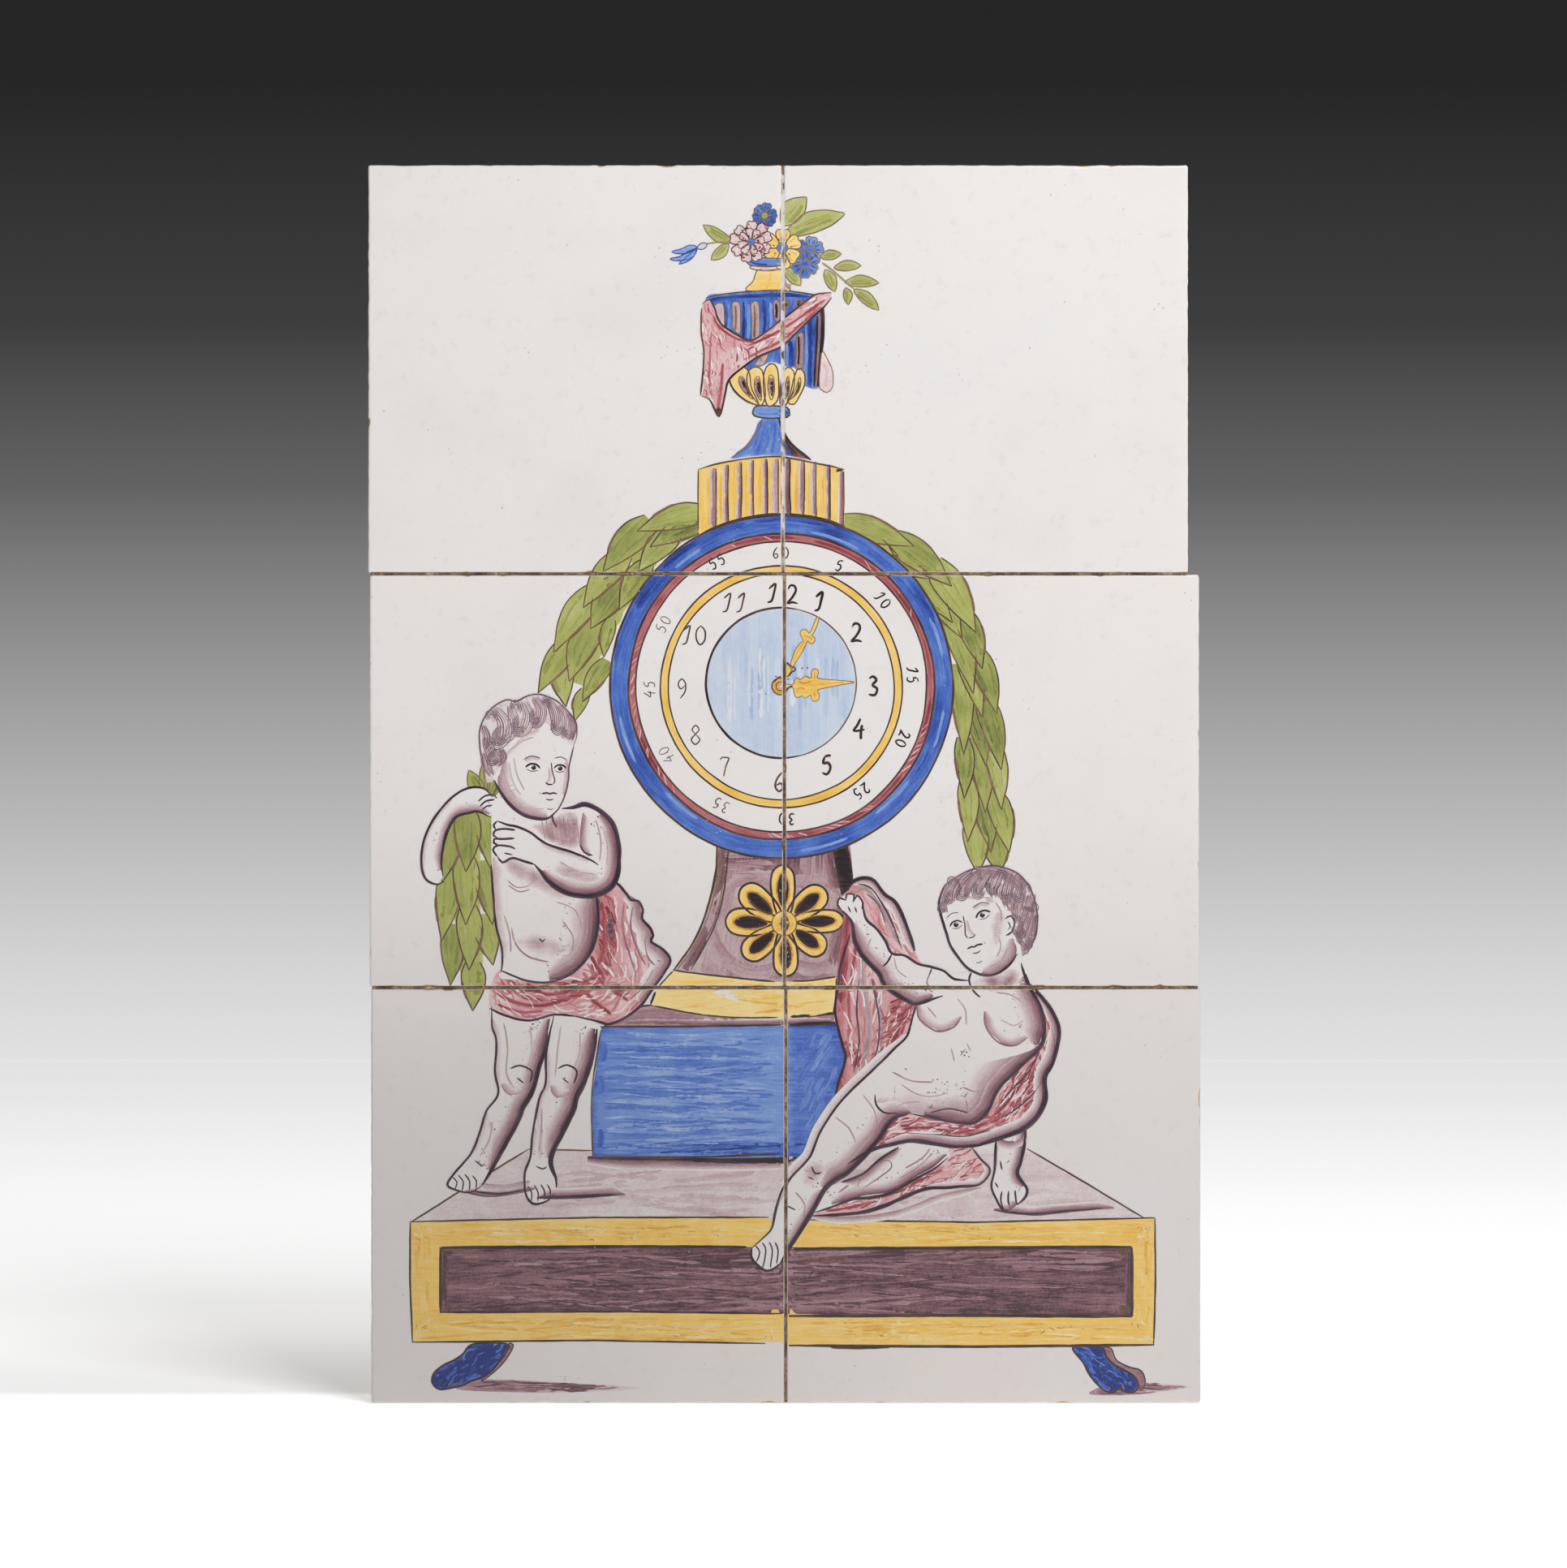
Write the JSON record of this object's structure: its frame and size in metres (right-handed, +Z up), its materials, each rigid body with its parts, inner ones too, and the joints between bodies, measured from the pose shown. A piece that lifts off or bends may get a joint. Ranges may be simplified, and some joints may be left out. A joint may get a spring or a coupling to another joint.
{
  "type": "delftware tile panel",
  "caption": "Wall panel of tin-glazed tiles on a plywood board, painted with a mantel clock, an urn, garlands and two putti.",
  "frame": {"origin": "centre of the box's foot: the middle of the panel's width and depth, at its lower edge", "axes": "+Z up the panel, +X to the right seen from the front, the painted face looks along -Y"},
  "size_m": [0.2624, 0.0348, 0.3902],
  "materials": {
    "tin_glaze": "white tin glaze with pits and a faint craze over a buff earthenware body",
    "joint_filling": "aged brown lime filling",
    "adhesive": "set tile adhesive",
    "plywood": "birch plywood",
    "batten_wood": "planed softwood",
    "screw_steel": "zinc-plated steel",
    "felt": "grey wool felt",
    "blue_enamel": "cobalt blue in the glaze",
    "pale_blue_enamel": "thin cobalt wash",
    "yellow_enamel": "antimony yellow",
    "green_enamel": "copper and antimony green",
    "red_enamel": "iron red wash",
    "purple_enamel": "manganese purple wash",
    "outline_enamel": "dark manganese line"
  },
  "bodies": {
    "root": {"tile_top_left": "tin_glaze", "tile_top_right": "tin_glaze", "tile_middle_left": "tin_glaze", "tile_middle_right": "tin_glaze", "tile_bottom_left": "tin_glaze", "tile_bottom_right": "tin_glaze", "grout_vertical": "joint_filling", "grout_lower": "joint_filling", "grout_upper": "joint_filling", "adhesive_top_left": "adhesive", "adhesive_top_right": "adhesive", "adhesive_middle_left": "adhesive", "adhesive_middle_right": "adhesive", "adhesive_bottom_left": "adhesive", "adhesive_bottom_right": "adhesive", "backing_board": "plywood", "hanging_cleat": "batten_wood", "lower_spacer": "batten_wood", "cleat_screws": "screw_steel", "spacer_screws": "screw_steel", "felt_pads": "felt", "enamel_blue": "blue_enamel", "enamel_pale_blue": "pale_blue_enamel", "enamel_yellow": "yellow_enamel", "enamel_green": "green_enamel", "enamel_red": "red_enamel", "enamel_purple": "purple_enamel", "enamel_outline_clock": "outline_enamel", "enamel_outline_figures": "outline_enamel"}
  },
  "joints": []
}
